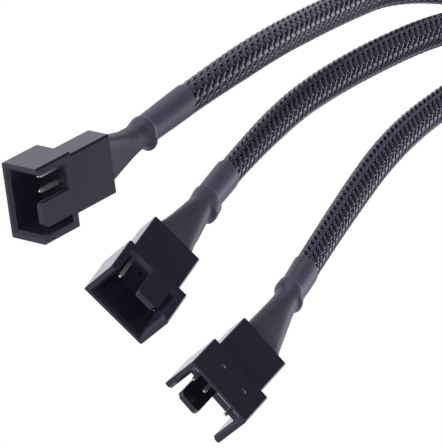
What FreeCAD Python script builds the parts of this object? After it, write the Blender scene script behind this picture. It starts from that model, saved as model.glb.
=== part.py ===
# Fan splitter cable: one inlet plug feeds three outlet sockets through braided leads.
# Millimetres, +Z up. The origin lies on the surface it rests on, under the middle
# outlet's shroud, whose mouth faces -Y.
import FreeCAD
import Part
import Sketcher
import math
import os

Vector = FreeCAD.Vector
UP = Vector(0, 0, 1)

doc = FreeCAD.newDocument("FanSplitterCable")

# Driving dimensions
SIZES = [
    # Outlet housing, measured from its back face along the plug-in direction
    ("housing_length", 18.6),
    ("body_length", 10.7),
    ("body_width", 10.2),
    ("body_thickness", 4.6),
    ("body_floor", 1.2),
    ("shroud_width", 12.85),
    ("shroud_thickness", 7.4),
    ("wall", 1.05),
    ("side_wall", 1.35),
    ("lid", 1.1),
    ("rim", 1.3),
    ("cavity_floor", 1.2),
    ("tongue_width", 4.2),
    ("tongue_offset", 1.6),
    ("tongue_setback", 0.2),
    ("tongue_corner", 0.45),
    ("tongue_wide_corner", 0.7),
    ("lead_in", 0.5),
    ("edge_round", 0.35),
    ("cell_width", 1.9),
    ("cell_height", 2.4),
    ("entry_depth", 2.6),
    ("entry_height", 1.7),
    ("entry_width", 7.7),
    # Contacts
    ("pin_pitch", 2.54),
    ("pin_section", 0.64),
    ("pin_level", 4.75),
    ("pin_reach", 15.9),
    ("pin_point", 0.5),
    ("pin_clearance", 0.05),
    ("terminal_width", 1.7),
    ("terminal_length", 4.2),
    ("barrel_length", 2.4),
    ("barrel_section", 1.6),
    ("wire_level", 3.7),
    ("wire_diameter", 1.0),
    ("wire_fit", 0.04),
    # Inlet plug
    ("plug_length", 11.6),
    ("plug_width", 9.9),
    ("plug_thickness", 4.8),
    ("plug_level", 2.5),
    ("plug_mouth", 1.1),
    ("rib_width", 0.9),
    ("rib_height", 0.9),
    ("rib_length", 8.2),
    ("rib_clearance", 0.3),
    ("lance_length", 2.0),
    ("lance_width", 1.2),
    # Heat-shrink boots
    ("boot_length", 26.0),
    ("boot_wall", 0.35),
    ("boot_foot_width", 8.3),
    ("boot_foot_thickness", 3.8),
    ("boot_shoulder_width", 6.9),
    ("boot_shoulder_at", 2.9),
    ("shoulder_ease", 0.4),
    ("boot_fit", 0.05),
    ("ridge_rise", 0.28),
    ("ridge_half_length", 2.0),
    ("neck_before_ridge", 3.0),
    ("neck_dip", 0.12),
    # Braided sleeves
    ("sleeve_wall", 0.4),
    ("sleeve_flare", 5.0),
    ("four_wire_sleeve", 5.6),
    ("middle_sleeve", 5.3),
    ("right_sleeve", 5.0),
    ("four_wire_boot", 5.4),
    ("three_wire_boot", 5.0),
    # Junction
    ("junction_length", 30.0),
    ("junction_width", 18.6),
    ("junction_height", 6.8),
    ("junction_exit_width", 7.8),
    ("junction_wall", 0.4),
    ("junction_level", 3.5),
    ("lead_spacing", 6.0),
    ("lead_insertion", 6.0),
    ("splice_start", 13.5),
    ("splice_length", 5.5),
    ("splice_wall", 0.2),
    ("splice_step", 1.75),
    ("power_splice_shift", 0.5),
    ("sense_wire_shift", 3.2),
    # How outlet 1 lies: tipped on one edge of its mouth
    ("outlet_1_x", -20.12),
    ("outlet_1_y", 11.18),
    ("outlet_1_heading", -107.02),
    ("tipped_pitch", 8.99),
    ("tipped_roll", -38.97),
    # Where outlet 3, the junction and the inlet lie
    ("outlet_3_x", 21.56),
    ("outlet_3_y", 11.22),
    ("outlet_3_heading", -96.07),
    ("junction_x", 36.0),
    ("junction_y", 142.0),
    ("junction_heading", 51.98),
    ("trunk_straight", 15.95),
    ("trunk_reach", 45.05),
    ("trunk_rise", 0.6),
    ("trunk_heading", 46.0),
]
sheet = doc.addObject("Spreadsheet::Sheet", "Sizes")
for row, (alias, value) in enumerate(SIZES, start=1):
    sheet.set("A%d" % row, alias)
    sheet.set("B%d" % row, str(value))
    sheet.setAlias("B%d" % row, alias)
doc.recompute()


def size(alias):
    return float(sheet.get(alias))


def bind(item, **expressions):
    """Tie properties to the sheet; a double underscore in a name stands for a dot."""
    for name, expression in expressions.items():
        item.setExpression(name.replace("__", "."), expression)
    return item


nodes = {}


def keep(label, item, placement=None):
    """File a finished piece under its node name, at its place."""
    item.Label = label
    if placement is not None:
        item.Placement = placement
    nodes[label] = item
    return item


# Sketch helpers
def origin_plane(body, role):
    for feature in body.Origin.OriginFeatures:
        if feature.Role == role:
            return feature


def outline_sketch(body, name, role, level, rectangles):
    """A sketch of rectangles; each gives its left, right, lower and upper limits as formulas."""
    sketch = body.newObject("Sketcher::SketchObject", name)
    sketch.AttachmentSupport = [(origin_plane(body, role), "")]
    sketch.MapMode = "FlatFace"
    sketch.setExpression("AttachmentOffset.Base.z", level)
    for index, (left, right, lower, upper) in enumerate(rectangles):
        corners = [Vector(0, 0, 0), Vector(1, 0, 0), Vector(1, 1, 0), Vector(0, 1, 0)]
        first = sketch.GeometryCount
        for k in range(4):
            sketch.addGeometry(Part.LineSegment(corners[k], corners[(k + 1) % 4]))
        for k in range(4):
            sketch.addConstraint(Sketcher.Constraint("Coincident", first + k, 2, first + (k + 1) % 4, 1))
        for k, kind in enumerate(("Horizontal", "Vertical", "Horizontal", "Vertical")):
            sketch.addConstraint(Sketcher.Constraint(kind, first + k))
        limits = (("left", "DistanceX", 0, left), ("right", "DistanceX", 2, right),
                  ("lower", "DistanceY", 0, lower), ("upper", "DistanceY", 2, upper))
        for word, kind, edge, formula in limits:
            start = 0.0 if edge == 0 else 1.0
            number = sketch.addConstraint(Sketcher.Constraint(kind, -1, 1, first + edge, 1, start))
            title = "%s_%d" % (word, index)
            sketch.renameConstraint(number, title)
            sketch.setExpression("Constraints." + title, formula)
    return sketch


def pad(body, name, sketch, length):
    return bind(body_feature(body, "PartDesign::Pad", name, sketch), Length=length)


def pocket(body, name, sketch, length):
    return bind(body_feature(body, "PartDesign::Pocket", name, sketch), Length=length)


def body_feature(body, kind, name, sketch):
    feature = body.newObject(kind, name)
    feature.Profile = sketch
    sketch.Visibility = False
    return feature


def dress(body, kind, name, prop, formula, wanted):
    """Round or bevel the edges of the body that the test wanted(edge) picks."""
    doc.recompute()
    base = body.Tip
    picked = ["Edge%d" % (i + 1) for i, edge in enumerate(base.Shape.Edges) if wanted(edge)]
    feature = body.newObject(kind, name)
    feature.Base = (base, picked)
    return bind(feature, **{prop: formula})


def runs_along(edge, axis):
    start = edge.Vertexes[0].Point
    end = edge.Vertexes[-1].Point
    return (end - start).normalize().isEqual(axis, 1e-6) or (start - end).normalize().isEqual(axis, 1e-6)


def near(a, b):
    return abs(a - b) < 1e-4


# Contact rows: distance of each circuit from the middle of the row, in pitches
CIRCUITS = {"ground": 1.5, "power": 0.5, "sense": -0.5, "control": -1.5}


def cell_limits(turn=1):
    """Limits of the four contact cells across the row, as formulas."""
    limits = []
    for place in CIRCUITS.values():
        middle = "%g * Sizes.pin_pitch" % (turn * place)
        limits.append((middle + " - Sizes.cell_width / 2", middle + " + Sizes.cell_width / 2"))
    return limits


# Outlet housing: body, wider shroud, keyed window with its tongue, contact cells
def outlet_housing(label, placement):
    body = doc.addObject("PartDesign::Body", label)
    half_body = "Sizes.body_width / 2"
    half_shroud = "Sizes.shroud_width / 2"
    inside = "(Sizes.shroud_width / 2 - Sizes.side_wall)"
    ceiling = "Sizes.shroud_thickness - Sizes.lid"
    window_back = "Sizes.body_length + Sizes.rim"
    tongue_low = "Sizes.tongue_offset - Sizes.tongue_width / 2"
    tongue_high = "Sizes.tongue_offset + Sizes.tongue_width / 2"

    block = outline_sketch(body, "BodySection", "YZ_Plane", "0",
                           [("-" + half_body, half_body, "Sizes.body_floor",
                             "Sizes.body_floor + Sizes.body_thickness")])
    pad(body, "BodyBlock", block, "Sizes.body_length")
    shell = outline_sketch(body, "ShroudSection", "YZ_Plane", "Sizes.body_length",
                           [("-" + half_shroud, half_shroud, "0", "Sizes.shroud_thickness")])
    pad(body, "Shroud", shell, "Sizes.housing_length - Sizes.body_length")

    def long_outer_edge(edge):
        if not runs_along(edge, Vector(1, 0, 0)):
            return False
        return abs(edge.CenterOfMass.y) > size("body_width") / 2 - 1e-4
    dress(body, "PartDesign::Fillet", "LongEdges", "Radius", "Sizes.edge_round", long_outer_edge)

    cavity = outline_sketch(body, "CavitySection", "YZ_Plane", "Sizes.housing_length",
                            [("-" + inside, inside, "Sizes.wall", ceiling)])
    pocket(body, "Cavity", cavity,
           "Sizes.housing_length - Sizes.body_length - Sizes.cavity_floor")
    window = outline_sketch(body, "WindowOutline", "XY_Plane", "Sizes.shroud_thickness",
                            [(window_back, "Sizes.housing_length", "-" + inside, tongue_low),
                             (window_back, "Sizes.housing_length", tongue_high, inside)])
    pocket(body, "Window", window, "Sizes.lid")
    setback = outline_sketch(body, "TongueFront", "XY_Plane", "Sizes.shroud_thickness",
                             [("Sizes.housing_length - Sizes.tongue_setback", "Sizes.housing_length",
                               tongue_low, tongue_high)])
    pocket(body, "TongueSetback", setback, "Sizes.lid")

    for side, name, formula in ((-1, "TongueCorner", "Sizes.tongue_corner"),
                                (1, "TongueWideCorner", "Sizes.tongue_wide_corner")):
        def front_corner(edge):
            middle = edge.CenterOfMass
            front = size("housing_length") - size("tongue_setback")
            limit = size("tongue_offset") + side * size("tongue_width") / 2
            return runs_along(edge, UP) and near(middle.x, front) and near(middle.y, limit)
        dress(body, "PartDesign::Chamfer", name, "Size", formula, front_corner)

    def mouth_edge(edge):
        middle = edge.CenterOfMass
        across = size("shroud_width") / 2 - size("side_wall")
        if not near(middle.x, size("housing_length")):
            return False
        if runs_along(edge, Vector(0, 1, 0)):
            return near(middle.z, size("wall"))
        return runs_along(edge, UP) and near(abs(middle.y), across)
    dress(body, "PartDesign::Chamfer", "LeadIn", "Size", "Sizes.lead_in", mouth_edge)

    low = "Sizes.wire_level - Sizes.barrel_section / 2 - Sizes.pin_clearance"
    cells = outline_sketch(body, "CellSections", "YZ_Plane", "Sizes.body_length",
                           [(a, b, low, low + " + Sizes.cell_height") for a, b in cell_limits()])
    pocket(body, "Cells", cells, "Sizes.body_length - Sizes.entry_depth")
    hole = "(Sizes.pin_section / 2 + Sizes.pin_clearance)"
    holes = []
    for place in CIRCUITS.values():
        middle = "%g * Sizes.pin_pitch" % place
        holes.append((middle + " - " + hole, middle + " + " + hole,
                      "Sizes.pin_level - " + hole, "Sizes.pin_level + " + hole))
    pin_holes = outline_sketch(body, "PinHoleSections", "YZ_Plane",
                               "Sizes.body_length + Sizes.cavity_floor", holes)
    pocket(body, "PinHoles", pin_holes, "Sizes.cavity_floor")
    wire_entry(body, "Sizes.wire_level")
    return keep(label, body, placement)


def wire_entry(body, level):
    """The recess in the back face where the wires draw together, wider towards the cells."""
    sketch = body.newObject("Sketcher::SketchObject", "EntryOutline")
    sketch.AttachmentSupport = [(origin_plane(body, "XY_Plane"), "")]
    sketch.MapMode = "FlatFace"
    sketch.setExpression("AttachmentOffset.Base.z", level + " + Sizes.entry_height / 2")
    deep = size("entry_depth")
    back = size("entry_width") / 2
    front = 1.5 * size("pin_pitch") + size("cell_width") / 2
    corners = [Vector(0, -back, 0), Vector(deep, -front, 0), Vector(deep, front, 0), Vector(0, back, 0)]
    for k in range(4):
        sketch.addGeometry(Part.LineSegment(corners[k], corners[(k + 1) % 4]))
    for k in range(4):
        sketch.addConstraint(Sketcher.Constraint("Coincident", k, 2, (k + 1) % 4, 1))
    inner = "(1.5 * Sizes.pin_pitch + Sizes.cell_width / 2)"
    limits = (("back_low", 0, "0", "-Sizes.entry_width / 2"),
              ("front_low", 1, "Sizes.entry_depth", "-" + inner),
              ("front_high", 2, "Sizes.entry_depth", inner),
              ("back_high", 3, "0", "Sizes.entry_width / 2"))
    for word, corner, across, along in limits:
        for kind, formula, start in (("DistanceX", across, corners[corner].x),
                                     ("DistanceY", along, corners[corner].y)):
            number = sketch.addConstraint(Sketcher.Constraint(kind, -1, 1, corner, 1, start))
            title = "%s_%s" % (word, kind[-1].lower())
            sketch.renameConstraint(number, title)
            sketch.setExpression("Constraints." + title, formula)
    pocket(body, "WireEntry", sketch, "Sizes.entry_height")


# Inlet plug: block with two key ribs, four sockets and the windows of the contact lances
def inlet_housing(label, placement):
    body = doc.addObject("PartDesign::Body", label)
    half = "Sizes.plug_width / 2"
    block = outline_sketch(body, "PlugSection", "YZ_Plane", "0",
                           [("-" + half, half, "0", "Sizes.plug_thickness")])
    pad(body, "PlugBlock", block, "Sizes.plug_length")

    def long_edge(edge):
        return runs_along(edge, Vector(1, 0, 0))
    dress(body, "PartDesign::Fillet", "LongEdges", "Radius", "Sizes.edge_round", long_edge)

    gap = "Sizes.tongue_width / 2 + Sizes.rib_clearance"
    inner_rib = "-Sizes.tongue_offset + " + gap
    outer_rib = "-Sizes.tongue_offset - " + gap
    ribs = outline_sketch(body, "RibSections", "YZ_Plane", "Sizes.plug_length - Sizes.rib_length",
                          [(inner_rib, inner_rib + " + Sizes.rib_width",
                            "Sizes.plug_thickness - Sizes.edge_round",
                            "Sizes.plug_thickness + Sizes.rib_height"),
                           (outer_rib + " - Sizes.rib_width", outer_rib,
                            "Sizes.plug_thickness - Sizes.edge_round",
                            "Sizes.plug_thickness + Sizes.rib_height")])
    pad(body, "Ribs", ribs, "Sizes.rib_length")

    low = "Sizes.plug_level - Sizes.barrel_section / 2 - Sizes.pin_clearance"
    cells = outline_sketch(body, "CellSections", "YZ_Plane", "Sizes.plug_length - Sizes.cavity_floor",
                           [(a, b, low, "Sizes.plug_level + Sizes.cell_width / 2")
                            for a, b in cell_limits(-1)])
    pocket(body, "Cells", cells, "Sizes.plug_length - Sizes.cavity_floor - Sizes.entry_depth")
    mouths = []
    lances = []
    for place in CIRCUITS.values():
        middle = "%g * Sizes.pin_pitch" % -place
        mouths.append((middle + " - Sizes.plug_mouth / 2", middle + " + Sizes.plug_mouth / 2",
                       "Sizes.plug_level - Sizes.plug_mouth / 2",
                       "Sizes.plug_level + Sizes.plug_mouth / 2"))
        lances.append(("Sizes.plug_length / 2", "Sizes.plug_length / 2 + Sizes.lance_length",
                       middle + " - Sizes.lance_width / 2", middle + " + Sizes.lance_width / 2"))
    pocket(body, "Mouths", outline_sketch(body, "MouthSections", "YZ_Plane", "Sizes.plug_length", mouths),
           "Sizes.cavity_floor")
    pocket(body, "LanceWindows",
           outline_sketch(body, "LanceOutline", "XY_Plane", "Sizes.plug_level", lances),
           "Sizes.plug_level")
    wire_entry(body, "Sizes.plug_level")
    return keep(label, body, placement)


# Contacts: a folded box with a wire barrel behind it and a pin or a socket in front
def centred_box(name, start, length, middle, across, level, high):
    """A box along X that is centred on the row place and the level."""
    box = doc.addObject("Part::Box", name)
    bind(box, Length=length, Width=across, Height=high,
         Placement__Base__x=start,
         Placement__Base__y="%s - (%s) / 2" % (middle, across),
         Placement__Base__z="%s - (%s) / 2" % (level, high))
    return box


def cut(name, base, tool):
    item = doc.addObject("Part::Cut", name)
    item.Base = base
    item.Tool = tool
    return item


def fuse(name, shapes):
    item = doc.addObject("Part::MultiFuse", name)
    item.Shapes = shapes
    item.Refine = True
    return item


def contact_back(label, middle, level, box_length, top):
    """Terminal box and wire barrel, which the pin and the socket share."""
    terminal = doc.addObject("Part::Box", label + "_box")
    low = "%s - Sizes.barrel_section / 2" % level
    bind(terminal, Length=box_length, Width="Sizes.terminal_width", Height="%s - (%s)" % (top, low),
         Placement__Base__x="Sizes.entry_depth + Sizes.pin_clearance + Sizes.barrel_length",
         Placement__Base__y="%s - Sizes.terminal_width / 2" % middle,
         Placement__Base__z=low)
    start = "Sizes.entry_depth + Sizes.pin_clearance"
    barrel = centred_box(label + "_barrel", start, "Sizes.barrel_length", middle,
                         "Sizes.barrel_section", level, "Sizes.barrel_section")
    bore = "Sizes.wire_diameter + 2 * Sizes.wire_fit"
    hollow = centred_box(label + "_bore", start, "Sizes.barrel_length", middle, bore, level, bore)
    return terminal, cut(label + "_crimp", barrel, hollow)


def pin_contact(label, place, placement):
    middle = "%g * Sizes.pin_pitch" % place
    terminal, crimp = contact_back(label, middle, "Sizes.wire_level", "Sizes.terminal_length",
                                   "(Sizes.pin_level + Sizes.pin_section / 2)")
    start = "Sizes.entry_depth + Sizes.pin_clearance + Sizes.barrel_length + Sizes.terminal_length / 2"
    shank = centred_box(label + "_shank", start,
                        "Sizes.pin_reach - Sizes.pin_point - (%s)" % start, middle,
                        "Sizes.pin_section", "Sizes.pin_level", "Sizes.pin_section")
    point = doc.addObject("Part::Wedge", label + "_point")
    half = "Sizes.pin_section / 2"
    # The wedge narrows along its own Y, which is turned to point out of the mouth
    bind(point, Xmin="-" + half, Xmax=half, Zmin="-" + half, Zmax=half,
         X2min="-Sizes.pin_section / 4", X2max="Sizes.pin_section / 4",
         Z2min="-Sizes.pin_section / 4", Z2max="Sizes.pin_section / 4",
         Ymin="0", Ymax="Sizes.pin_point")
    point.Placement.Rotation = FreeCAD.Rotation(UP, -90)
    bind(point, Placement__Base__x="Sizes.pin_reach - Sizes.pin_point",
         Placement__Base__y=middle, Placement__Base__z="Sizes.pin_level")
    return keep(label, fuse(label, [terminal, crimp, shank, point]), placement)


def socket_contact(label, place, placement):
    middle = "%g * Sizes.pin_pitch" % place
    back = "Sizes.entry_depth + Sizes.pin_clearance + Sizes.barrel_length"
    reach = "Sizes.plug_length - Sizes.cavity_floor - Sizes.pin_clearance - (%s)" % back
    terminal, crimp = contact_back(label, middle, "Sizes.plug_level", reach,
                                   "(Sizes.plug_level + Sizes.terminal_width / 2)")
    slot = "Sizes.pin_section + 2 * Sizes.pin_clearance"
    mouth = centred_box(label + "_slot", back + " + Sizes.terminal_length / 4", reach, middle, slot,
                        "Sizes.plug_level", slot)
    sprung = cut(label + "_receptacle", terminal, mouth)
    return keep(label, fuse(label, [sprung, crimp]), placement)


# Sections placed across a line, and shells lofted through them. Braid and wires are
# many-sided, so that their long runs stay light.
SLEEVE_SIDES = 10
WIRE_SIDES = 4
ROUND_SIDES = 8
LEAST_FLAT = 0.02


def facing(direction, hint):
    """The turn that puts a section's normal along direction and its width along hint."""
    normal = Vector(direction).normalize()
    width = (hint - normal * hint.dot(normal)).normalize()
    return FreeCAD.Rotation(width, normal.cross(width), normal, "XYZ")


def ring(name, diameter, sides, placement):
    """A many-sided section to sweep, its diameter given as a formula."""
    item = doc.addObject("Part::RegularPolygon", name)
    item.Polygon = sides
    bind(item, Circumradius="(%s) / 2" % diameter)
    item.Placement = placement
    return item


def flat_ring(width, thickness, placement):
    """Corners of a section with two flats and two many-sided half rounds."""
    flat = max((width - thickness) / 2, LEAST_FLAT)
    corners = []
    for sign in (1, -1):
        for k in range(ROUND_SIDES + 1):
            angle = math.pi * (k / ROUND_SIDES - 0.5)
            across = flat + thickness / 2 * math.cos(angle)
            corners.append(Vector(sign * across, sign * thickness / 2 * math.sin(angle), 0))
    return [placement.multVec(corner) for corner in corners]


def round_ring(diameter, placement):
    """Corners of the section that a sweep of ring() starts with."""
    corners = []
    for k in range(SLEEVE_SIDES):
        angle = 2 * math.pi * k / SLEEVE_SIDES
        corners.append(Vector(diameter / 2 * math.cos(angle), diameter / 2 * math.sin(angle), 0))
    return [placement.multVec(corner) for corner in corners]


def skin(sections):
    """The solid with flat sides between matching sections, closed at both ends."""
    faces = [Part.Face(Part.makePolygon(ends + ends[:1])) for ends in (sections[0], sections[-1])]
    for near_end, far_end in zip(sections, sections[1:]):
        for k in range(len(near_end)):
            corners = [near_end[k - 1], near_end[k], far_end[k], far_end[k - 1], near_end[k - 1]]
            faces.append(Part.Face(Part.makePolygon(corners)))
    solid = Part.makeSolid(Part.makeShell(faces))
    if solid.Volume < 0:
        solid.reverse()
    return solid


def shell(name, outside, inside):
    """A tube between two skins, as an object of the document."""
    item = doc.addObject("Part::Feature", name)
    item.Shape = skin(outside).cut(skin(inside))
    return item


def flat_shell(name, stations, wall):
    """A tube through flat rings, each (width, thickness, placement), with an even wall."""
    outside = [flat_ring(width, thickness, placement) for width, thickness, placement in stations]
    inside = [flat_ring(width - 2 * wall, thickness - 2 * wall, placement)
              for width, thickness, placement in stations]
    return shell(name, outside, inside)


# Paths of straight runs and tangent arcs
ARC_SHARE = 0.45
radii = {}


def path(name, points):
    """A wire through the points whose corners are as round as their runs allow."""
    edges = []
    last = points[0]
    bends = []
    for before, corner, after in zip(points, points[1:], points[2:]):
        incoming = (corner - before).normalize()
        outgoing = (after - corner).normalize()
        turn = incoming.getAngle(outgoing)
        reach = ARC_SHARE * min((corner - before).Length, (after - corner).Length)
        radius = reach / math.tan(turn / 2)
        start = corner - incoming * reach
        end = corner + outgoing * reach
        towards = (outgoing - incoming).normalize()
        middle = corner + towards * (radius / math.cos(turn / 2) - radius)
        edges.append(Part.LineSegment(last, start).toShape())
        edges.append(Part.Arc(start, middle, end).toShape())
        bends.append(radius)
        last = end
    edges.append(Part.LineSegment(last, points[-1]).toShape())
    radii[name] = bends
    spine = doc.addObject("Part::Feature", name + "_path")
    spine.Shape = Part.Wire(edges)
    return spine


def sweep(name, profile, spine):
    item = doc.addObject("Part::Sweep", name)
    item.Sections = [profile]
    item.Spine = (spine, ["Edge%d" % (i + 1) for i in range(len(spine.Shape.Edges))])
    item.Solid = True
    item.Frenet = False
    return item


def beside(points, side, rise):
    """The line that keeps its distance to the right of a route, and above it."""
    shifted = []
    for index, point in enumerate(points):
        ways = []
        if index > 0:
            ways.append(point - points[index - 1])
        if index < len(points) - 1:
            ways.append(points[index + 1] - point)
        rights = [Vector(way.y, -way.x, 0).normalize() for way in ways]
        right = (rights[0] + rights[-1]).normalize()
        spread = 1 / right.dot(rights[0])
        shifted.append(point + right * (side * spread) + UP * rise)
    return shifted


# Where the pieces lie. The routes are chosen by hand along the leads.
def tipped_placement():
    """Outlet 1 rests on the corner of its mouth that its tilt and roll bring lowest."""
    turn = FreeCAD.Rotation(size("outlet_1_heading"), size("tipped_pitch"), size("tipped_roll"))
    corner = turn.multVec(Vector(size("housing_length"), size("shroud_width") / 2, 0))
    return FreeCAD.Placement(Vector(size("outlet_1_x"), size("outlet_1_y"), -corner.z), turn)


def upright_placement():
    shroud_middle = (size("body_length") + size("housing_length")) / 2
    return FreeCAD.Placement(Vector(0, shroud_middle, 0), FreeCAD.Rotation(-90, 0, 0))


def inverted_placement():
    return FreeCAD.Placement(Vector(size("outlet_3_x"), size("outlet_3_y"), size("shroud_thickness")),
                             FreeCAD.Rotation(size("outlet_3_heading"), 0, 180))


def heading(alias):
    angle = math.radians(size(alias))
    return Vector(math.cos(angle), math.sin(angle), 0)


junction_origin = Vector(size("junction_x"), size("junction_y"), size("junction_level"))
junction_way = heading("junction_heading")
junction_right = Vector(junction_way.y, -junction_way.x, 0)


def in_junction(along, right, rise):
    return junction_origin + junction_way * along + junction_right * right + UP * rise


trunk_bend = in_junction(size("junction_length") + size("trunk_straight"), 0, size("trunk_rise"))


def inlet_placement():
    """The inlet lies at the trunk's far end, in line with its last run."""
    spot = trunk_bend + heading("trunk_heading") * size("trunk_reach")
    return FreeCAD.Placement(Vector(spot.x, spot.y, 0), FreeCAD.Rotation(size("trunk_heading"), 0, 0))


# Each lead: its connector, circuits with their place in the bundle (right, up), the ridge
# where its braid ends, and its route: points measured from the lead's start, then points
# measured from the junction.
SQUARE = 0.78
FOUR_WIRES = {"ground": (SQUARE, -SQUARE), "power": (SQUARE, SQUARE),
              "sense": (-SQUARE, -SQUARE), "control": (-SQUARE, SQUARE)}
LEADS = {
    "branch_1": {
        "connector": "outlet_1", "placement": tipped_placement(), "sleeve": "four_wire_sleeve",
        "boot": "four_wire_boot", "ridge": 11.3, "bundle": FOUR_WIRES, "slot": -1,
        "from_start": [(7.53, 42.23, 2.36), (16.73, 80.13, -4.14)],
        "from_junction": [(-29.6, -26.9, -0.6), (-12.1, -5.8, -0.1)],
    },
    "branch_2": {
        "connector": "outlet_2", "placement": upright_placement(), "sleeve": "middle_sleeve",
        "boot": "three_wire_boot", "ridge": 13.9, "slot": 0,
        "bundle": {"ground": (0.69, -0.58), "power": (0.16, 0.88), "control": (-0.85, -0.3)},
        "from_start": [(1.9, 42.95, -1.0), (7.6, 70.25, -0.9)],
        "from_junction": [(-17.8, -24.5, -0.6), (-7.4, -9.5, -0.1)],
    },
    "branch_3": {
        "connector": "outlet_3", "placement": inverted_placement(), "sleeve": "right_sleeve",
        "boot": "three_wire_boot", "ridge": 16.6, "slot": 1,
        "bundle": {"ground": (-0.69, -0.58), "power": (-0.16, 0.88), "control": (0.85, -0.3)},
        "from_start": [(-0.36, 42.98, -0.9), (0.44, 70.08, -1.0)],
        "from_junction": [(-8.8, -36.1, -0.7), (-2.7, -13.2, -0.1)],
    },
    "trunk": {
        "connector": "inlet", "placement": inlet_placement(), "sleeve": "four_wire_sleeve",
        "boot": "four_wire_boot", "ridge": 14.0,
        "bundle": {circuit: (-right, rise) for circuit, (right, rise) in FOUR_WIRES.items()},
        "from_start": [], "from_junction": [trunk_bend - junction_origin],
    },
}


def lead_start(lead):
    level = size("plug_level") if lead["connector"] == "inlet" else size("wire_level")
    return lead["placement"].multVec(Vector(0, 0, level))


def lead_route(lead):
    return ([lead_start(lead) + Vector(*shift) for shift in lead["from_start"]]
            + [junction_origin + Vector(*shift) for shift in lead["from_junction"]])


def lead_way(lead):
    return (lead_route(lead)[0] - lead_start(lead)).normalize()


def lead_end(name):
    """Where the lead's braid ends inside the junction."""
    if name == "trunk":
        return in_junction(size("junction_length") - size("lead_insertion"), 0, 0)
    return in_junction(size("lead_insertion"), LEADS[name]["slot"] * size("lead_spacing"), 0)


def boot(name):
    """Shrunk tube: an oval foot on the housing, a neck, the ridge over the braid's end, a round tail."""
    lead = LEADS[name]
    start = lead_start(lead)
    way = lead_way(lead)
    turn = facing(lead["placement"].Rotation.multVec(Vector(-1, 0, 0)),
                  lead["placement"].Rotation.multVec(Vector(0, 1, 0)))
    round_part = size(lead["boot"])
    neck = round_part - 2 * size("neck_dip")
    crest = round_part + 2 * size("ridge_rise")
    ridge = lead["ridge"]

    def station(distance, width, thickness):
        return width, thickness, FreeCAD.Placement(start + way * distance, turn)
    stations = [
        station(0, size("boot_foot_width"), size("boot_foot_thickness")),
        station(size("boot_shoulder_at"), size("boot_shoulder_width"),
                (size("boot_foot_thickness") + neck) / 2),
        station(ridge - size("neck_before_ridge"), neck, neck),
        station(ridge, crest, crest),
        station(ridge + size("ridge_half_length"), round_part, round_part),
        station(size("boot_length"), round_part, round_part),
    ]
    label = lead["connector"] + "_boot"
    return keep(label, flat_shell(label, stations, size("boot_wall")))


def sleeve(name):
    """Braided sleeve: gripped narrow inside the boot, flaring to its free size, then along the route."""
    lead = LEADS[name]
    start = lead_start(lead)
    way = lead_way(lead)
    free = "Sizes." + lead["sleeve"]
    boot_bore = (size(lead["boot"]) - 2 * size("boot_wall")) * math.cos(math.pi / (2 * ROUND_SIDES))
    gripped = boot_bore - 2 * size("boot_fit")
    turn = facing(way, UP)
    flare_end = size("boot_length") + size("sleeve_flare")
    stations = [(lead["ridge"], gripped), (size("boot_length"), gripped), (flare_end, size(lead["sleeve"]))]
    outside = []
    inside = []
    for distance, diameter in stations:
        place = FreeCAD.Placement(start + way * distance, turn)
        outside.append(round_ring(diameter, place))
        inside.append(round_ring(diameter - 2 * size("sleeve_wall"), place))
    tail = shell(name + "_grip", outside, inside)
    points = [start + way * flare_end] + lead_route(lead) + [lead_end(name)]
    spine = path(name + "_sleeve", points)
    profile = FreeCAD.Placement(points[0], turn)
    outside = sweep(name + "_outside", ring(name + "_ring", free, SLEEVE_SIDES, profile), spine)
    inner = "%s - 2 * Sizes.sleeve_wall" % free
    inside = sweep(name + "_inside", ring(name + "_core", inner, SLEEVE_SIDES, profile), spine)
    run = cut(name + "_run", outside, inside)
    return keep(name + "_sleeve", fuse(name + "_sleeve", [tail, run]))


NECK_GATHER = 9.0


def wire(label, points):
    """One insulated wire along its own path."""
    spine = path(label, points)
    across = FreeCAD.Placement(points[0], facing(points[1] - points[0], UP))
    profile = ring(label + "_ring", "Sizes.wire_diameter", WIRE_SIDES, across)
    return keep(label, sweep(label, profile, spine))


def wire_points(name, circuit):
    """From the contact's barrel, gathered in the boot, then with the bundle to the braid's end."""
    lead = LEADS[name]
    inlet = lead["connector"] == "inlet"
    level = size("plug_level") if inlet else size("wire_level")
    across = (-1 if inlet else 1) * CIRCUITS[circuit] * size("pin_pitch")
    tip = size("entry_depth") + size("barrel_length") - size("wire_fit")
    place = lead["placement"]
    start = lead_start(lead)
    way = lead_way(lead)
    right, rise = lead["bundle"][circuit]
    row = place.Rotation.multVec(Vector(0, 1, 0))
    room = size("boot_shoulder_width") / 2 - size("boot_wall") - size("shoulder_ease")
    squeeze = (room - size("wire_diameter") / 2) / (1.5 * size("pin_pitch"))
    shoulder = start + way * size("boot_shoulder_at") + row * (across * squeeze)
    line = [start + way * NECK_GATHER] + lead_route(lead) + [lead_end(name)]
    barrel = [place.multVec(Vector(along, across, level)) for along in (tip, 0.75 * size("entry_depth"))]
    return barrel + [shoulder] + beside(line, right, rise)


# Splices: flat crimps stacked in the junction, one to a circuit
SPLICE_LEVELS = {"ground": -1, "control": 0, "power": 1}


def splice_shift(circuit):
    return size("power_splice_shift") if circuit == "power" else 0


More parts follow.
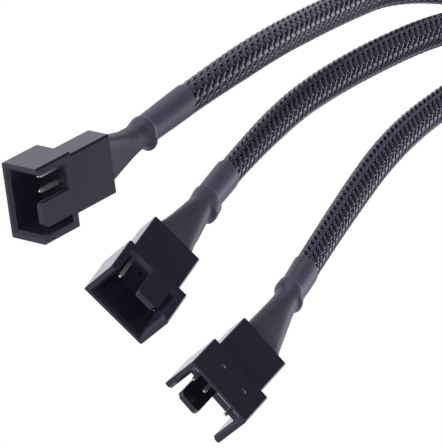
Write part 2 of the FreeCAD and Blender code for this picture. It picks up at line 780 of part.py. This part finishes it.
def splice(circuit):
    middle = splice_shift(circuit)
    rise = SPLICE_LEVELS[circuit] * size("splice_step")
    slot = size("wire_diameter") + 2 * size("wire_fit")
    bore = "(Sizes.wire_diameter + 2 * Sizes.wire_fit)"
    turn = FreeCAD.Rotation(junction_way, UP.cross(junction_way), UP, "XYZ")
    shapes = []
    for word, wall in (("outside", size("splice_wall")), ("inside", 0)):
        box = doc.addObject("Part::Box", "%s_splice_%s" % (circuit, word))
        extra = " + 2 * Sizes.splice_wall" if wall else ""
        bind(box, Length="Sizes.splice_length", Width="3 * %s%s" % (bore, extra), Height=bore + extra)
        corner = in_junction(size("splice_start"), middle + 1.5 * slot + wall, rise - slot / 2 - wall)
        box.Placement = FreeCAD.Placement(corner, turn)
        shapes.append(box)
    return keep(circuit + "_splice", cut(circuit + "_splice", *shapes))


def branch_wire_end(name, circuit):
    """From the braid's end to the lead's own slot in the splice."""
    slot = LEADS[name]["slot"] * (size("wire_diameter") + 2 * size("wire_fit"))
    across = splice_shift(circuit) + slot
    rise = SPLICE_LEVELS[circuit] * size("splice_step")
    return [in_junction(size("splice_start") - 1, across, rise),
            in_junction(size("splice_start") + size("splice_length") / 2 - size("wire_fit"), across, rise)]


def trunk_wire_end(circuit):
    across = splice_shift(circuit)
    rise = SPLICE_LEVELS[circuit] * size("splice_step")
    behind = size("splice_start") + size("splice_length")
    return [in_junction(behind + 0.6, across, rise),
            in_junction(behind - size("splice_length") / 2 + size("wire_fit"), across, rise)]


def junction():
    """Shrunk tube over the splices: flat over the three leads, drawn in to the trunk."""
    length = size("junction_length")
    turn = facing(junction_way, junction_right)
    ends = [(0, size("junction_width")),
            (size("lead_insertion"), size("junction_width")),
            (length - size("lead_insertion"), size("junction_exit_width")),
            (length, size("junction_exit_width"))]
    stations = [(width, size("junction_height"), FreeCAD.Placement(in_junction(along, 0, 0), turn))
                for along, width in ends]
    return keep("junction_shrink", flat_shell("junction_shrink", stations, size("junction_wall")))


# Build the pieces
for name, lead in LEADS.items():
    connector = lead["connector"]
    if connector == "inlet":
        inlet_housing("inlet_housing", lead["placement"])
    else:
        outlet_housing(connector + "_housing", lead["placement"])
    for circuit in lead["bundle"]:
        place = CIRCUITS[circuit]
        if connector == "inlet":
            socket_contact("inlet_%s_socket" % circuit, -place, lead["placement"])
        else:
            pin_contact("%s_%s_pin" % (connector, circuit), place, lead["placement"])
    boot(name)
    sleeve(name)
for circuit in SPLICE_LEVELS:
    splice(circuit)
    for name in ("branch_1", "branch_2", "branch_3"):
        wire("%s_%s_wire" % (name, circuit), wire_points(name, circuit) + branch_wire_end(name, circuit))
    wire("trunk_%s_wire" % circuit, wire_points("trunk", circuit) + trunk_wire_end(circuit))
past_splices = [in_junction(size("splice_start"), -size("sense_wire_shift"), -SQUARE),
                in_junction(size("splice_start") + size("splice_length"), -size("sense_wire_shift"), -SQUARE)]
wire("sense_wire", wire_points("branch_1", "sense") + past_splices
     + list(reversed(wire_points("trunk", "sense"))))
junction()
doc.recompute()

# Check the document before anything is written
for item in doc.Objects:
    if "Invalid" in item.State or "Error" in item.State:
        raise SystemExit("failed: %s %s" % (item.Name, item.State))
for label, item in nodes.items():
    if item.Shape.isNull() or not item.Shape.isValid():
        raise SystemExit("bad shape: " + label)
    if len(item.Shape.Solids) != 1:
        raise SystemExit("%s has %d solids" % (label, len(item.Shape.Solids)))

for name, bends in radii.items():
    print(name, "radii", " ".join("%.1f" % bend for bend in bends))
os.makedirs("parts", exist_ok=True)
for label, item in nodes.items():
    item.Shape.exportStep("parts/%s.step" % label)
print(len(nodes), "nodes")
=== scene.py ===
import math

import bpy
from mathutils import Euler, Matrix, Vector


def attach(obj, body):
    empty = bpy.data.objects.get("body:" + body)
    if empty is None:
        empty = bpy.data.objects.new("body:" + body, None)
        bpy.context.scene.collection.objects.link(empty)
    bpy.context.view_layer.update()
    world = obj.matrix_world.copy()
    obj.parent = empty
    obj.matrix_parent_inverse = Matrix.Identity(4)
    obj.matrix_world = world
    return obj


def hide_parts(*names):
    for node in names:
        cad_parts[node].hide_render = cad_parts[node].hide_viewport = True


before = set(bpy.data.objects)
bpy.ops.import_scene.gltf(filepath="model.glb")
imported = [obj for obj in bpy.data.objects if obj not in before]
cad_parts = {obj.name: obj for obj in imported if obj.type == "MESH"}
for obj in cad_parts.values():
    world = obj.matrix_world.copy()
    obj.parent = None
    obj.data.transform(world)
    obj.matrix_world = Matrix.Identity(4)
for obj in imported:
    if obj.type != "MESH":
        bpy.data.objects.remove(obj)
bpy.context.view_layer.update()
MM = 0.001


def mm(x, y, z):
    return Vector((x, y, z)) * MM


# Routes: the points of the part's own routes, from the end of the braid to the junction
JUNCTION_HEADING = math.radians(51.98)
junction_way = Vector((math.cos(JUNCTION_HEADING), math.sin(JUNCTION_HEADING), 0))
junction_right = Vector((junction_way.y, -junction_way.x, 0))
junction_origin = mm(36, 142, 3.5)


def in_junction(along, right):
    return junction_origin + junction_way * along * MM + junction_right * right * MM


def housing_turn(heading, pitch, roll):
    angles = (math.radians(roll), math.radians(pitch), math.radians(heading))
    return Euler(angles, "XYZ").to_matrix()


# Each lead: the start of its boot, where its braid begins under the boot, its connector and
# how that is turned, its route and far end, and the braid's diameter at the boot, a third of
# the way on, and where it is widest. The braid has a number of strands each way, a pitch along
# the cable and a turn about it.
# The boot's sizes are its neck, ridge, the tail behind the ridge and the tail's end; the foot
# is its width on the housing, moved aside by the shift; the trim is how much the tail is cut
# short, and how much more on the lit side; the crest is the ridge's place along the boot and
# how far it leans on towards the shaded side; an ear is a way out, a reach in front of the
# ridge, a height and a spread in degrees; the last pair are factors on the boot's colour at the
# foot and on the tail, painted shade that darkens the foot and some whole tails.
LIT_SIDE = Vector((0.98, -0.04, 0.17))
LEADS = {
    "branch_1": {
        "boot_start": mm(-18.03, 10.07, 9.74), "braid_start": 11.3, "connector": "outlet_1",
        "turn": housing_turn(-107.02, 8.99, -38.97),
        "boot": (4.4, 5.3, 4.95, 5.3), "foot": 7.9, "foot_shift": -0.2,
        "trim": (1.2, 1.0), "crest": (12.4, 0.2), "painted_shades": (0.3, 0.85),
        "ears": [((0.95, -0.1, 0.1), 1.7, 0.7, 42)],
        "route": [mm(-10.5, 52.3, 12.1), mm(-1.3, 90.2, 5.6),
                  mm(6.4, 115.1, 2.9), mm(23.9, 136.2, 3.4)],
        "end": in_junction(6, -6), "diameters": (5.2, 5.75, 5.8),
        "strands": 24, "braid_pitch": 2.13, "braid_turn": -0.19,
    },
    "branch_2": {
        "boot_start": mm(0, 14.65, 3.7), "braid_start": 13.9, "connector": "outlet_2",
        "turn": housing_turn(-90, 0, 0),
        "boot": (4.6, 5.2, 4.8, 4.95), "foot": 7.9, "foot_shift": -0.2,
        "trim": (1.9, 0.9), "crest": (15.3, 0.5), "painted_shades": (0.5, 1.0),
        "ears": [(LIT_SIDE, 3.4, 0.85, 45)],
        "route": [mm(1.9, 57.6, 2.7), mm(7.6, 84.9, 2.8),
                  mm(18.2, 117.5, 2.9), mm(28.6, 132.5, 3.4)],
        "end": in_junction(6, 0), "diameters": (4.55, 5.0, 6.0),
        "strands": 20, "braid_pitch": 1.75, "braid_turn": -0.12,
    },
    "branch_3": {
        "boot_start": mm(21.56, 11.22, 3.7), "braid_start": 16.6, "connector": "outlet_3",
        "turn": housing_turn(-96.07, 0, 180),
        "boot": (4.3, 4.95, 4.75, 5.0), "foot": 8.2, "foot_shift": 0.0,
        "trim": (1.8, 0.9), "crest": (17.0, 1.2), "painted_shades": (0.5, 0.9),
        "ears": [(LIT_SIDE, 1.9, 0.42, 45), (-LIT_SIDE, 2.7, 0.42, 45)],
        "route": [mm(21.2, 54.2, 2.8), mm(22, 81.3, 2.7),
                  mm(27.2, 105.9, 2.8), mm(33.3, 128.8, 3.4)],
        "end": in_junction(6, 6), "diameters": (4.7, 4.8, 5.6),
        "strands": 20, "braid_pitch": 1.63, "braid_turn": -0.09,
    },
    "trunk": {
        "boot_start": mm(95.59, 210.61, 2.5), "braid_start": 14.0, "connector": "inlet",
        "turn": housing_turn(46, 0, 0),
        "boot": (4.6, 5.3, 4.95, 5.3), "foot": 8.2, "foot_shift": 0.0,
        "trim": (1.0, 0.5), "crest": (14.0, 0.3), "painted_shades": (0.5, 1.0),
        "ears": [((0.7, -0.7, 0), 2.5, 0.5, 42)],
        "route": [mm(64.3, 178.2, 4.1)],
        "end": in_junction(24, 0), "diameters": (5.2, 5.4, 5.6),
        "strands": 24, "braid_pitch": 2.13, "braid_turn": 0.0,
    },
}


def lead_way(lead):
    return (lead["route"][0] - lead["boot_start"]).normalized()


# Points along a route, read from a smooth curve through its control points
ROUTE_RESOLUTION = 24


def spline_points(name, control):
    data = bpy.data.curves.new(name + "_route", "CURVE")
    data.dimensions = "3D"
    data.resolution_u = ROUTE_RESOLUTION
    spline = data.splines.new("NURBS")
    spline.points.add(len(control) - 1)
    for point, place in zip(spline.points, control):
        point.co = (*place, 1)
    spline.order_u = 3
    spline.use_endpoint_u = True
    holder = bpy.data.objects.new(name + "_route", data)
    mesh = bpy.data.meshes.new_from_object(holder)
    points = [vertex.co.copy() for vertex in mesh.vertices]
    bpy.data.objects.remove(holder)
    bpy.data.curves.remove(data)
    bpy.data.meshes.remove(mesh)
    return points


class Line:
    """A run of points with distances along it and a frame that doesn't twist."""

    def __init__(self, points):
        self.points = points
        self.at = [0.0]
        for before, after in zip(points, points[1:]):
            self.at.append(self.at[-1] + (after - before).length)
        self.length = self.at[-1]
        ways = [(b - a).normalized() for a, b in zip(points, points[1:])]
        self.ways = [ways[0]]
        for before, after in zip(ways, ways[1:]):
            self.ways.append((before + after).normalized())
        self.ways.append(ways[-1])
        side = self.ways[0].cross(Vector((0, 0, 1))).normalized()
        self.sides = [side]
        for way in self.ways[1:]:
            side = (side - way * side.dot(way)).normalized()
            self.sides.append(side)
        self.step = 0

    def place(self, distance):
        """Point, forward and side vectors at a distance; distances are asked in rising order."""
        while self.step < len(self.at) - 2 and self.at[self.step + 1] < distance:
            self.step += 1
        k = self.step
        share = (distance - self.at[k]) / (self.at[k + 1] - self.at[k])
        point = self.points[k].lerp(self.points[k + 1], share)
        way = self.ways[k].lerp(self.ways[k + 1], share).normalized()
        side = self.sides[k].lerp(self.sides[k + 1], share)
        side = (side - way * side.dot(way)).normalized()
        return point, way, side


def smooth_step(share):
    return share * share * (3 - 2 * share)


def eased(stations, at):
    """A smooth curve through (place, value) stations, level at each of them."""
    for (x0, y0), (x1, y1) in zip(stations, stations[1:]):
        if at <= x1:
            share = max(0.0, (at - x0) / (x1 - x0))
            return y0 + (y1 - y0) * smooth_step(share)
    return stations[-1][1]


def straight(stations, at):
    """Straight runs between (place, value) stations."""
    for (x0, y0), (x1, y1) in zip(stations, stations[1:]):
        if at <= x1:
            return y0 + (y1 - y0) * max(0.0, (at - x0) / (x1 - x0))
    return stations[-1][1]


def ring_faces(rings, around, first=0, turned=False, closed=False):
    """Faces from each ring of vertices to the next, and from the last to the first if closed."""
    faces = []
    for k in range(rings if closed else rings - 1):
        here = first + k * around
        after = first + (k + 1) % rings * around
        for j in range(around):
            beside = (j + 1) % around
            if turned:
                faces.append((here + j, after + j, after + beside, here + beside))
            else:
                faces.append((here + j, here + beside, after + beside, after + j))
    return faces


def new_piece(name, vertices, faces, material):
    mesh = bpy.data.meshes.new(name)
    mesh.from_pydata([tuple(v) for v in vertices], [], faces)
    mesh.polygons.foreach_set("use_smooth", [True] * len(mesh.polygons))
    mesh.materials.append(material)
    piece = bpy.data.objects.new(name, mesh)
    bpy.context.scene.collection.objects.link(piece)
    return piece


# Materials
SHEEN_TINT = (0.50, 0.45, 1.0)
SHEEN_ROUGHNESS = 0.4


def plain_material(name, colour, roughness, specular=0.5, tint=(1, 1, 1), sheen=0.0, metallic=0.0):
    material = bpy.data.materials.new(name)
    material.use_nodes = True
    shader = material.node_tree.nodes["Principled BSDF"]
    shader.inputs["Base Color"].default_value = (*colour, 1)
    shader.inputs["Roughness"].default_value = roughness
    shader.inputs["Specular IOR Level"].default_value = specular
    shader.inputs["Specular Tint"].default_value = (*tint, 1)
    shader.inputs["Sheen Weight"].default_value = sheen
    shader.inputs["Sheen Roughness"].default_value = SHEEN_ROUGHNESS
    shader.inputs["Sheen Tint"].default_value = (*SHEEN_TINT, 1)
    shader.inputs["Metallic"].default_value = metallic
    return material


VIOLET = (0.70, 0.65, 1.0)
BRAID_TINT = (0.62, 0.57, 1.0)
NYLON = plain_material("moulded_nylon", (0.014, 0.013, 0.0205), 0.15, 0.40, VIOLET, 0.12)
gloss = NYLON.node_tree.nodes["Principled BSDF"]
gloss.inputs["Coat Weight"].default_value = 0.4
gloss.inputs["Coat IOR"].default_value = 1.3
gloss.inputs["Coat Roughness"].default_value = 0.12
gloss.inputs["Coat Tint"].default_value = (0.88, 0.85, 1, 1)
SHRINK_COLOUR = (0.060, 0.056, 0.088)
SHRINK = plain_material("shrink_tube", SHRINK_COLOUR, 0.45, 0.45, VIOLET, 0.1)
BOOT_WITH_PAINTED_SHADE = plain_material("shrunk_boot_painted_shade", SHRINK_COLOUR, 0.45, 0.45, VIOLET, 0.1)
# Painted shade: the boot's base colour is read from a per-vertex layer that darkens it towards the
# foot.
painted_shade_node = BOOT_WITH_PAINTED_SHADE.node_tree.nodes.new("ShaderNodeVertexColor")
painted_shade_node.layer_name = "painted_shade"
boot_shader = BOOT_WITH_PAINTED_SHADE.node_tree.nodes["Principled BSDF"]
BOOT_WITH_PAINTED_SHADE.node_tree.links.new(painted_shade_node.outputs["Color"], boot_shader.inputs["Base Color"])
BRAID = plain_material("braid", (0.018, 0.016, 0.030), 0.30, 0.56, BRAID_TINT, 0.1)
WIRE = plain_material("wire_insulation", (0.004, 0.004, 0.005), 0.6, 0.2)
TIN = plain_material("tin_plate", (0.76, 0.75, 0.74), 0.54, metallic=1.0)

# The part's own pieces: a material by kind, and softened edges on the housings
KINDS = (("_housing", NYLON), ("_boot", SHRINK), ("_shrink", SHRINK), ("_wire", WIRE),
         ("_pin", TIN), ("_socket", TIN), ("_splice", TIN), ("_sleeve", BRAID))
EDGE_WIDTH = 0.20 * MM
EDGE_SEGMENTS = 3
EDGE_ANGLE = math.radians(40)
for node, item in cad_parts.items():
    for ending, material in KINDS:
        if node.endswith(ending):
            item.data.materials.clear()
            item.data.materials.append(material)
    if node.endswith("_housing"):
        soften = item.modifiers.new("soft_edges", "BEVEL")
        soften.width = EDGE_WIDTH
        soften.segments = EDGE_SEGMENTS
        soften.limit_method = "ANGLE"
        soften.angle_limit = EDGE_ANGLE


# Boots: shrunk tubes, each a flat foot on its housing that narrows at a shoulder, gathers to
# a round throat, swells to a ridge over the end of the braid with small ears at its sides,
# and goes on as a round tail with a rolled lip. Lengths are in millimetres.
BOOT_LENGTH = 26.0
BOOT_WALL = 0.3
FOOT_SQUARENESS = 0.38
FOOT_HEIGHT = 3.3
SHOULDER = 2.9
SHOULDER_NARROWER = 1.25
SHOULDER_HEIGHT = 3.6
GATHER_LENGTH = 2.5
GATHER_WIDER = 0.5
GATHER_LOWER = 0.3
THROAT_LENGTH = 3.2
CREASE = 0.4
EAR_RISE = 1.0
EAR_AT_RIDGE = 0.5
LEAN_LENGTH = 9.0
SHIFT_LENGTH = 6.0
TRIM_AFTER_RIDGE = 1.0
LIP_ROUNDING = 0.25
LIP_STEPS = 4
LIP_DEPTH = 3.0
LIP_CLEARANCE = 0.15
# Where the painted shade of the foot starts to ease off before the throat, and where it reaches the
# tail's factor before the ridge
PAINTED_SHADE_BEFORE_THROAT = 3.0
PAINTED_SHADE_BEFORE_RIDGE = 1.0
RINGS = 150
SIDES = 56


def boot_rings():
    """Place along the boot and depth under its skin, for the skin, the lip and its inside."""
    rings = []
    for k in range(RINGS + 1):
        rings.append((BOOT_LENGTH * k / RINGS, 0.0))
    for k in range(1, LIP_STEPS + 1):
        angle = math.pi / 2 * k / LIP_STEPS
        inset = LIP_ROUNDING * (1 - math.cos(angle))
        rings.append((BOOT_LENGTH + LIP_ROUNDING * math.sin(angle), inset))
    rings.append((BOOT_LENGTH - LIP_DEPTH, BOOT_WALL + LIP_CLEARANCE))
    return rings


def ear_swell(lead, outward, here):
    """How far the ears stand out of the boot at a place along it and in a direction."""
    ridge = lead["crest"][0]
    swell = 0.0
    for ear_way, reach, ear_size, spread in lead["ears"]:
        facing = outward.dot(Vector(ear_way).normalized())
        if facing > 0:
            off = math.acos(min(facing, 1.0)) / math.radians(spread)
            front = ridge - reach
            outline = [(front, 0.0), (front + EAR_RISE, 1.0),
                       (ridge, EAR_AT_RIDGE), (ridge + CREASE, 0.0)]
            swell += ear_size * eased(outline, here) * math.exp(-off ** 4)
    return swell


def paint_boot_shade(piece, lead, rings):
    """The boot's colour at each ring with painted shade: darkened at the foot, easing to the tail's
    factor before the ridge.
    """
    ridge = lead["crest"][0]
    throat = ridge - THROAT_LENGTH
    foot_painted_shade, tail_painted_shade = lead["painted_shades"]
    stations = [(throat - PAINTED_SHADE_BEFORE_THROAT, foot_painted_shade), (ridge - PAINTED_SHADE_BEFORE_RIDGE, tail_painted_shade)]
    painted_shade = piece.data.color_attributes.new("painted_shade", "FLOAT_COLOR", "POINT")
    for k, (distance, _) in enumerate(rings):
        share = straight(stations, distance)
        colour = [part * share for part in SHRINK_COLOUR]
        for j in range(SIDES):
            painted_shade.data[k * SIDES + j].color = (*colour, 1)


def boot(lead):
    turn = lead["turn"]
    back = turn @ Vector((-1, 0, 0))
    row = turn @ Vector((0, 1, 0))
    way = lead_way(lead)
    ridge, tilt = lead["crest"]
    neck, crest, after, tail = lead["boot"]
    short, slant = lead["trim"]
    throat = ridge - THROAT_LENGTH
    gather = throat - GATHER_LENGTH
    body = [(throat, neck), (ridge, crest), (ridge + CREASE, after), (BOOT_LENGTH, tail)]
    widths = [(0, lead["foot"]), (SHOULDER, lead["foot"] - SHOULDER_NARROWER),
              (gather, neck + GATHER_WIDER), (throat, neck)]
    heights = [(0, FOOT_HEIGHT), (SHOULDER, SHOULDER_HEIGHT),
               (gather, neck - GATHER_LOWER), (throat, neck)]
    rings = boot_rings()
    vertices = []
    for distance, inset in rings:
        lean = min(distance / LEAN_LENGTH, 1.0)
        square = straight([(0, FOOT_SQUARENESS), (throat, 1.0)], distance)
        ahead = back.lerp(way, lean).normalized()
        across = (row - ahead * row.dot(ahead)).normalized()
        upward = ahead.cross(across)
        shift = lead["foot_shift"] * max(0.0, 1 - distance / SHIFT_LENGTH)
        middle = lead["boot_start"] + way * distance * MM + row * shift * MM
        beyond = max(0.0, distance - ridge - TRIM_AFTER_RIDGE)
        for j in range(SIDES):
            angle = 2 * math.pi * j / SIDES
            x = math.copysign(abs(math.cos(angle)) ** square, math.cos(angle))
            y = math.copysign(abs(math.sin(angle)) ** square, math.sin(angle))
            outward = (across * x + upward * y).normalized()
            lit = outward.dot(LIT_SIDE)
            trim = (short + slant * lit) * beyond / (BOOT_LENGTH - ridge - TRIM_AFTER_RIDGE)
            here = distance + tilt * lit
            if here < throat:
                wide = straight(widths, distance) / 2
                high = straight(heights, distance) / 2
            else:
                wide = eased(body, here) / 2
                high = wide
            swell = ear_swell(lead, outward, here)
            spot = across * x * (wide - inset + swell) + upward * y * (high - inset + swell)
            vertices.append(middle + (spot - way * trim) * MM)
    label = lead["connector"] + "_boot"
    piece = new_piece(label + "_skin", vertices, ring_faces(len(rings), SIDES), BOOT_WITH_PAINTED_SHADE)
    # Painted shade on the boot: darker at the foot, and some tails darker as a whole.
    paint_boot_shade(piece, lead, rings)
    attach(piece, "root")
    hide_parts(label)


# Braid: two families of flat strands, each over two and under two of the other, on a dark
# lining in the wires' colour, partly painted shade that darkens the gaps between the strands.
# Strands of one family lie along the cable where they are on top.
BRAID_TUCK = 4.5 * MM
WIDENING_LENGTH = 55 * MM
STRAND_COVER = {1: 0.74, -1: 0.90}
STRAND_CROWN = {1: 0.12 * MM, -1: 0.06 * MM}
STRAND_RISE = 0.16 * MM
STRAND_PROFILE = (-1.0, -0.5, 0.5, 1.0)
SAMPLES_PER_CROSSING = 4
FLOAT_PHASE = 0.5
FLOAT_SHARPNESS = 1.8
FLOAT_LEAN = {1: 0.4, -1: -0.85}
LINING_EVERY = 5
LINING_SIDES = 20
LINING_GAP = 0.03 * MM


def braid_radius(lead, distance):
    """Radius at a distance beyond the boot's end, eased between the three measured sizes."""
    near, middle, far = (size * MM / 2 for size in lead["diameters"])
    if distance <= 0:
        return near
    share = smooth_step(min(distance / WIDENING_LENGTH, 1.0))
    first = near + (middle - near) * min(distance / (WIDENING_LENGTH / 3), 1.0)
    return first + (far - middle) * share


def strand_vertices(lead, hand, strand, stations):
    """One strand's profile at each station, winding one way or the other by its hand."""
    strands = lead["strands"]
    crossing = lead["braid_pitch"] * MM / 2
    twist = math.pi / (crossing * strands)
    lean = FLOAT_LEAN[hand]
    begin = stations[0][0]
    vertices = []
    for distance, point, forward, side, radius in stations:
        travelled = distance - begin
        step = travelled / crossing
        phase = math.pi / 2 * (2 * strand + hand * step - FLOAT_PHASE)
        wave = hand * math.cos(phase)
        angle = 2 * math.pi * strand / strands + hand * twist * travelled + lead["braid_turn"]
        angle += hand * lean * 2 / strands * math.sin(phase)
        slope = math.atan(twist * radius * (1 + lean * wave))
        up = side.cross(forward)
        outward = side * math.cos(angle) + up * math.sin(angle)
        around = up * math.cos(angle) - side * math.sin(angle)
        across = around * math.cos(slope) - forward * hand * math.sin(slope)
        half = math.pi * radius / strands * math.cos(slope) * STRAND_COVER[hand]
        float_height = max(-1.0, min(1.0, FLOAT_SHARPNESS * wave))
        level = radius - STRAND_RISE - STRAND_CROWN[1] + STRAND_RISE * float_height
        middle = point + outward * level
        for part in STRAND_PROFILE:
            crown = STRAND_CROWN[hand] * (1 - part * part)
            vertices.append(middle + across * half * part + outward * crown)
    return vertices


def strand_faces(first, count):
    width = len(STRAND_PROFILE)
    faces = []
    for k in range(count - 1):
        for j in range(width - 1):
            a = first + k * width + j
            faces.append((a, a + 1, a + width + 1, a + width))
    return faces


def lining_vertices(stations):
    vertices = []
    for _, point, forward, side, radius in stations:
        inner = radius - 2 * STRAND_RISE - STRAND_CROWN[1] - LINING_GAP
        up = side.cross(forward)
        for j in range(LINING_SIDES):
            angle = 2 * math.pi * j / LINING_SIDES
            vertices.append(point + (side * math.cos(angle) + up * math.sin(angle)) * inner)
    return vertices


def braid(name, lead):
    start = lead["boot_start"] + lead_way(lead) * lead["braid_start"] * MM
    line = Line(spline_points(name, [start] + lead["route"] + [lead["end"]]))
    hidden = (BOOT_LENGTH - lead["braid_start"]) * MM
    begin = hidden - BRAID_TUCK
    crossing = lead["braid_pitch"] * MM / 2
    count = int((line.length - begin) / crossing * SAMPLES_PER_CROSSING)
    stations = []
    for k in range(count + 1):
        distance = begin + (line.length - begin) * k / count
        stations.append((distance, *line.place(distance), braid_radius(lead, distance - hidden)))
    vertices = []
    faces = []
    for hand in (1, -1):
        for strand in range(lead["strands"]):
            faces += strand_faces(len(vertices), len(stations))
            vertices += strand_vertices(lead, hand, strand, stations)
    woven = len(faces)
    rings = stations[::LINING_EVERY]
    faces += ring_faces(len(rings), LINING_SIDES, len(vertices), turned=True)
    vertices += lining_vertices(rings)
    piece = new_piece(name + "_braid", vertices, faces, BRAID)
    # The lining takes the wires' near-black colour, which also paints shade into the gaps between
    # the strands.
    piece.data.materials.append(WIRE)
    for face in piece.data.polygons[woven:]:
        face.material_index = 1
    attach(piece, "root")
    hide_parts(name + "_sleeve")


for name, lead in LEADS.items():
    boot(lead)
    braid(name, lead)


# Junction: a shrunk tube, flat over the three leads and round on the trunk, with shallow
# dips between the leads
JUNCTION_LENGTH = 30.0
JUNCTION_HALF_WIDTHS = [(0, 9.3), (6, 9.3), (24, 3.9), (JUNCTION_LENGTH, 3.9)]
JUNCTION_HALF_HEIGHT = 3.4
JUNCTION_WALL = 0.4
JUNCTION_RINGS = 40
RIM_ROUNDING = 0.1
LEAD_SPACING = 6.0
DIP = 0.09
DIP_FADE = [(0, 1.0), (6, 1.0), (18, 0.0)]
ARC_STEPS = 18
FLAT_STEPS = 14


def stadium(wide, high):
    """Points around a flat oval with round ends, from half its width and half its height."""
    flat = wide - high
    points = []
    for k in range(ARC_STEPS):
        angle = math.pi * (k / ARC_STEPS - 0.5)
        points.append((flat + high * math.cos(angle), high * math.sin(angle)))
    for k in range(FLAT_STEPS):
        points.append((flat - 2 * flat * k / FLAT_STEPS, high))
    return points + [(-x, -y) for x, y in points]


def junction():
    first = RIM_ROUNDING
    last = JUNCTION_LENGTH - RIM_ROUNDING
    places = [first + (last - first) * k / JUNCTION_RINGS for k in range(JUNCTION_RINGS + 1)]
    outer_rim = RIM_ROUNDING
    inner_rim = JUNCTION_WALL - RIM_ROUNDING
    rings = [(along, 0.0) for along in places]
    rings += [(JUNCTION_LENGTH, outer_rim), (JUNCTION_LENGTH, inner_rim)]
    rings += [(along, JUNCTION_WALL) for along in reversed(places)]
    rings += [(0.0, inner_rim), (0.0, outer_rim)]
    vertices = []
    for along, inset in rings:
        wide = eased(JUNCTION_HALF_WIDTHS, along) - inset
        fade = eased(DIP_FADE, along)
        outline = stadium(wide, JUNCTION_HALF_HEIGHT - inset)
        for x, y in outline:
            between = (1 - math.cos(2 * math.pi * x / LEAD_SPACING)) / 2
            rise = y * (1 - DIP * fade * between)
            vertices.append(in_junction(along, -x) + mm(0, 0, rise))
    faces = ring_faces(len(rings), len(outline), closed=True)
    piece = new_piece("junction_skin", vertices, faces, SHRINK)
    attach(piece, "root")
    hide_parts("junction_shrink")


junction()


# Moulding pips on the closed face of the right outlet
PIP_RADIUS = 0.42
PIP_HEIGHT = 0.2
PIP_SIDES = 20
PIP_STEPS = 4
PIP_TAPER = 0.999
PIP_TIP = 0.0005
RIGHT_OUTLET = mm(21.56, 11.22, 7.4)


def pip(name, along, across):
    turn = LEADS["branch_3"]["turn"]
    vertices = []
    for ring in range(PIP_STEPS + 1):
        lift = math.pi / 2 * ring / PIP_STEPS
        reach = PIP_RADIUS * math.cos(lift) * PIP_TAPER + PIP_TIP
        depth = -PIP_HEIGHT * math.sin(lift)
        for j in range(PIP_SIDES):
            angle = 2 * math.pi * j / PIP_SIDES
            spot = Vector((along + reach * math.cos(angle), across + reach * math.sin(angle), depth))
            vertices.append(RIGHT_OUTLET + turn @ spot * MM)
    faces = ring_faces(PIP_STEPS + 1, PIP_SIDES, turned=True)
    piece = new_piece(name, vertices, faces, NYLON)
    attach(piece, "root")


pip("outlet_3_pip_left", 13.9, 2.3)
pip("outlet_3_pip_right", 14.3, -2.8)


# Camera, as found from the corners of the three housings in the photograph
EYE = Vector((-0.084177, -0.483618, 0.410087))
RIGHT = Vector((0.70315, 0.36321, 0.61127))
DOWN = Vector((0.69806, -0.51611, -0.49632))
AHEAD = Vector((0.13522, 0.77569, -0.61645))
camera_data = bpy.data.cameras.new("camera")
camera_data.lens = 321.43
camera_data.sensor_width = 36
camera_data.clip_end = 10
camera = bpy.data.objects.new("camera", camera_data)
bpy.context.scene.collection.objects.link(camera)
camera_turn = Matrix((RIGHT, -DOWN, -AHEAD)).transposed().to_4x4()
camera.matrix_world = Matrix.Translation(EYE) @ camera_turn
bpy.context.scene.camera = camera


# Light
def area_light(name, place, target, size, power):
    data = bpy.data.lights.new(name, "AREA")
    data.size = size
    data.energy = power
    lamp = bpy.data.objects.new(name, data)
    lamp.location = place
    lamp.rotation_euler = (Vector(target) - Vector(place)).to_track_quat("-Z", "Y").to_euler()
    bpy.context.scene.collection.objects.link(lamp)


AIM = (0.01, 0.04, 0.0)
area_light("key", (0.46, 0.70, 0.24), AIM, 0.40, 1.7)
area_light("fill", (-0.15, -0.75, 0.40), AIM, 0.45, 2.7)
area_light("side", (-0.62, 0.40, 0.45), AIM, 0.35, 1.3)

# Surroundings: a white table below and around and a dimmer room above it, as reflections see
# them, an even light for the rest, and plain white behind the part
TABLE_LEVEL = 1.0
ROOM_LEVEL = 0.12
TABLE_ENDS = 0.30
ROOM_BEGINS = 0.55
EVEN_LEVEL = 0.5
BEHIND_LEVEL = 1.0
world = bpy.data.worlds.new("surroundings")
bpy.context.scene.world = world
world.use_nodes = True
nodes = world.node_tree.nodes
links = world.node_tree.links
background = nodes["Background"]
background.inputs["Color"].default_value = (1, 1, 1, 1)
path_kind = nodes.new("ShaderNodeLightPath")
direction = nodes.new("ShaderNodeTexCoord")
split = nodes.new("ShaderNodeSeparateXYZ")
links.new(direction.outputs["Generated"], split.inputs[0])
room = nodes.new("ShaderNodeMapRange")
room.interpolation_type = "SMOOTHSTEP"
links.new(split.outputs["Z"], room.inputs["Value"])
room.inputs["From Min"].default_value = TABLE_ENDS
room.inputs["From Max"].default_value = ROOM_BEGINS
room.inputs["To Min"].default_value = TABLE_LEVEL
room.inputs["To Max"].default_value = ROOM_LEVEL
mirrored = nodes.new("ShaderNodeMath")
mirrored.operation = "MAXIMUM"
links.new(path_kind.outputs["Is Glossy Ray"], mirrored.inputs[0])
links.new(path_kind.outputs["Is Transmission Ray"], mirrored.inputs[1])
reflected = nodes.new("ShaderNodeMix")
links.new(mirrored.outputs[0], reflected.inputs["Factor"])
reflected.inputs["A"].default_value = EVEN_LEVEL
links.new(room.outputs["Result"], reflected.inputs["B"])
strength = nodes.new("ShaderNodeMix")
links.new(path_kind.outputs["Is Camera Ray"], strength.inputs["Factor"])
links.new(reflected.outputs["Result"], strength.inputs["A"])
strength.inputs["B"].default_value = BEHIND_LEVEL
links.new(strength.outputs["Result"], background.inputs["Strength"])

bpy.context.scene.view_settings.view_transform = "Standard"
